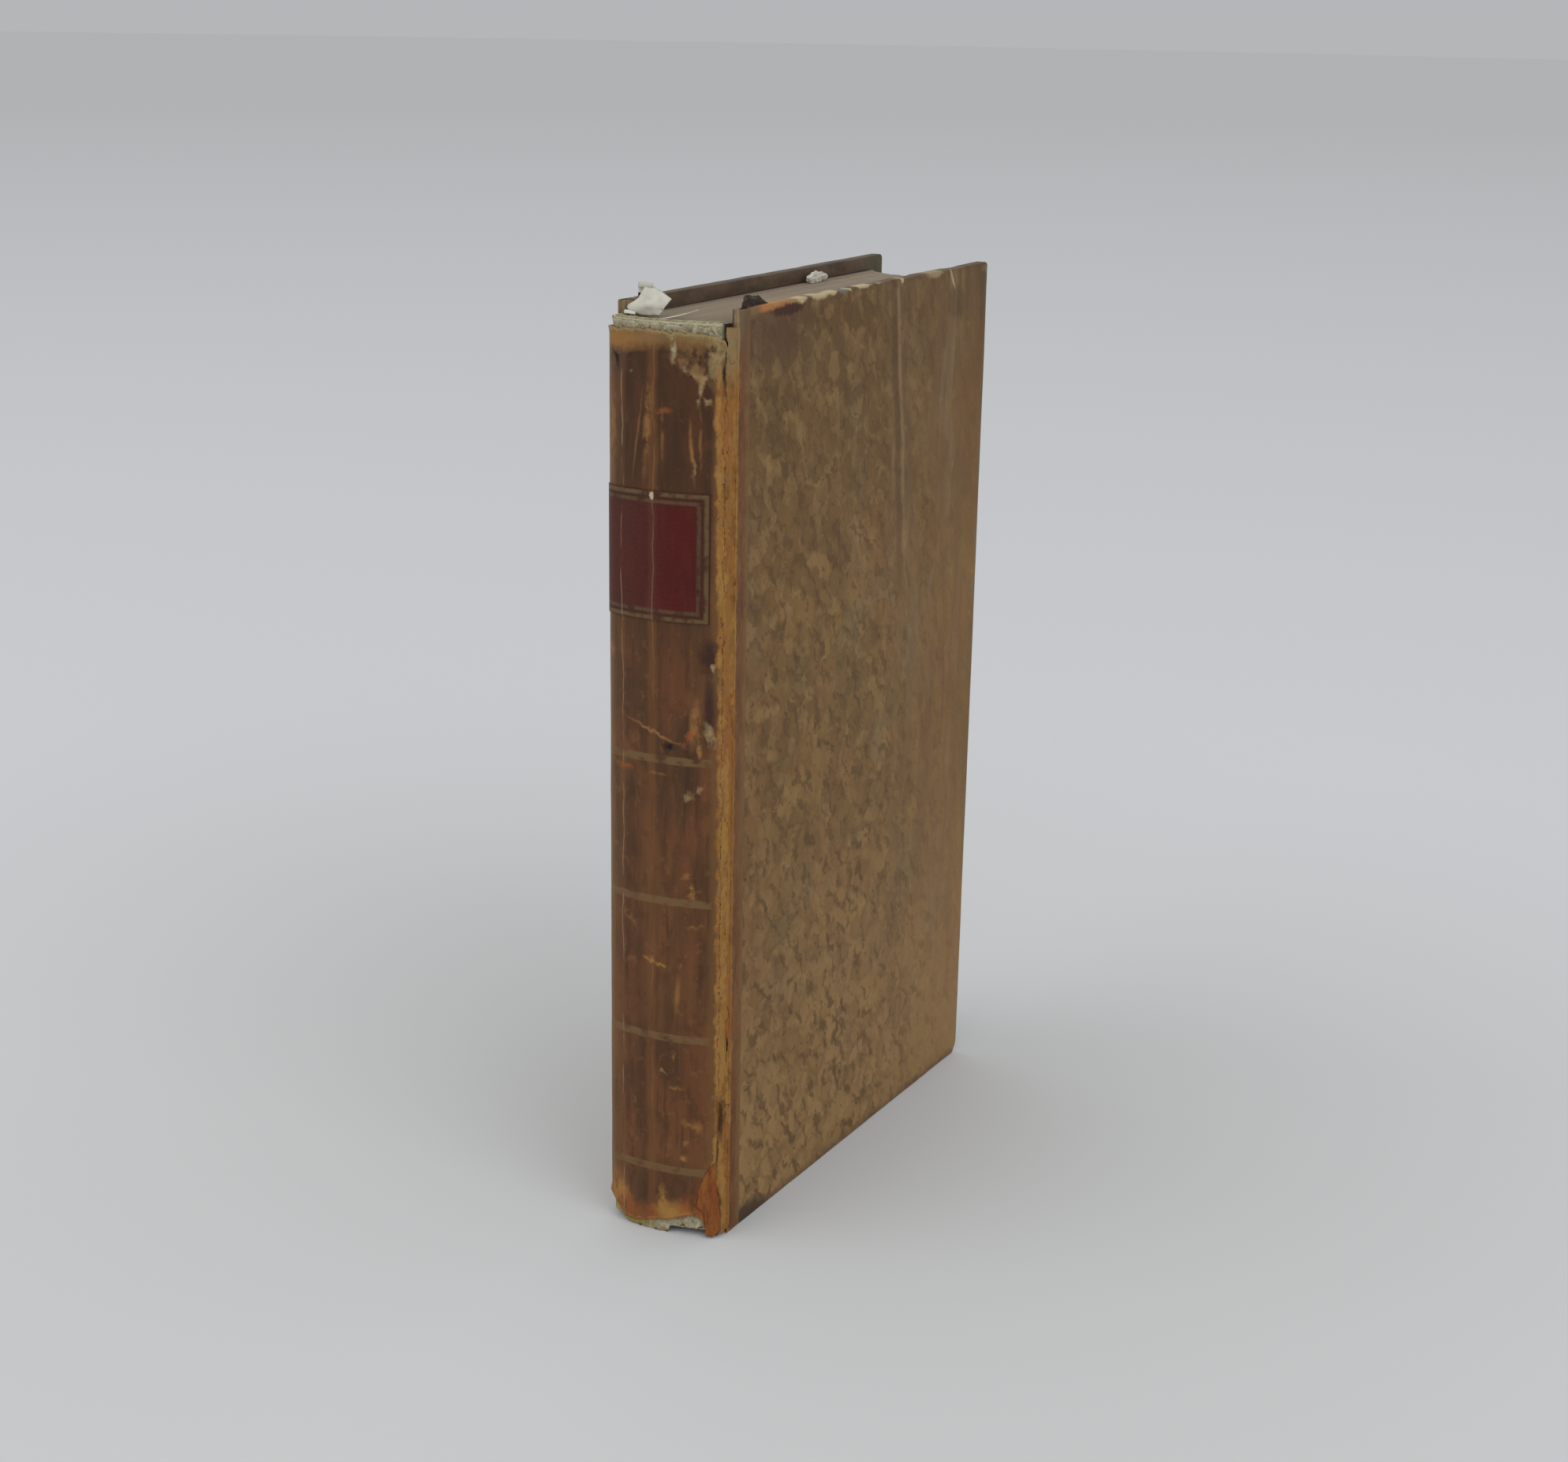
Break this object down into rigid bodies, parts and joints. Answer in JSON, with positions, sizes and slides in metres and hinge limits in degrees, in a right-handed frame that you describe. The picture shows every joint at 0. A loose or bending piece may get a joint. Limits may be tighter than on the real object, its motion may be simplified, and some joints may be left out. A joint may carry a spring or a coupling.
{
  "type": "antique book",
  "caption": "Antique quarter-leather book standing on its tail, with a smooth rounded spine, a red label, paper-covered boards and two hinged covers.",
  "frame": {"origin": "under the middle of the whole closed book, at the level that it stands on", "axes": "+Z from tail to head, +Y from the spine to the fore edge, +X through the front cover"},
  "size_m": [0.0312, 0.1246, 0.2084],
  "materials": {
    "leaves": "aged rag paper, rough cut edges, dusty at the head",
    "lining": "pale greenish lining paper, glued and dusty",
    "spine_leather": "brown calf, worn, cracked and polished by hands",
    "label_leather": "dark red morocco label, bare but for plain gilt lines",
    "endband": "flattened endband, faded green and cream",
    "torn_paper": "clean white paper at a fresh tear",
    "cord": "hemp cord, matt",
    "pasteboard": "layered grey-brown pasteboard, matt",
    "side_paper": "sprinkled brown paper, rubbed and slightly glazed",
    "pastedown": "plain dark brown paper, matt",
    "joint_leather": "thin brown calf, rubbed to orange at the joint"
  },
  "bodies": {
    "root": {"text_block": "leaves", "spine_lining": "lining", "spine_leather": "spine_leather", "title_label": "label_leather", "headband": "endband", "tailband": "endband", "torn_paper_flap": "torn_paper", "lifted_sliver": "torn_paper", "paper_scrap": "torn_paper", "sewing_cord_1": "cord", "sewing_cord_2": "cord", "sewing_cord_3": "cord", "sewing_cord_4": "cord", "sewing_cord_5": "cord"},
    "front_cover": {"front_board": "pasteboard", "front_side_paper": "side_paper", "front_joint_leather": "joint_leather", "front_pastedown": "pastedown", "front_slip_1": "cord", "front_slip_2": "cord", "front_slip_3": "cord", "front_slip_4": "cord", "front_slip_5": "cord", "front_lifted_flake": "spine_leather"},
    "back_cover": {"back_board": "pasteboard", "back_side_paper": "side_paper", "back_joint_leather": "joint_leather", "back_pastedown": "pastedown", "back_slip_1": "cord", "back_slip_2": "cord", "back_slip_3": "cord", "back_slip_4": "cord", "back_slip_5": "cord"}
  },
  "joints": [
    {"name": "front_joint", "type": "hinge", "parent": "root", "child": "front_cover", "pos_m": [0.01558, -0.05494, 0.1025], "axis": [0, 0, -1], "range_deg": [0, 180]},
    {"name": "back_joint", "type": "hinge", "parent": "root", "child": "back_cover", "pos_m": [-0.01302, -0.05494, 0.1025], "axis": [0, 0, 1], "range_deg": [0, 177]}
  ]
}
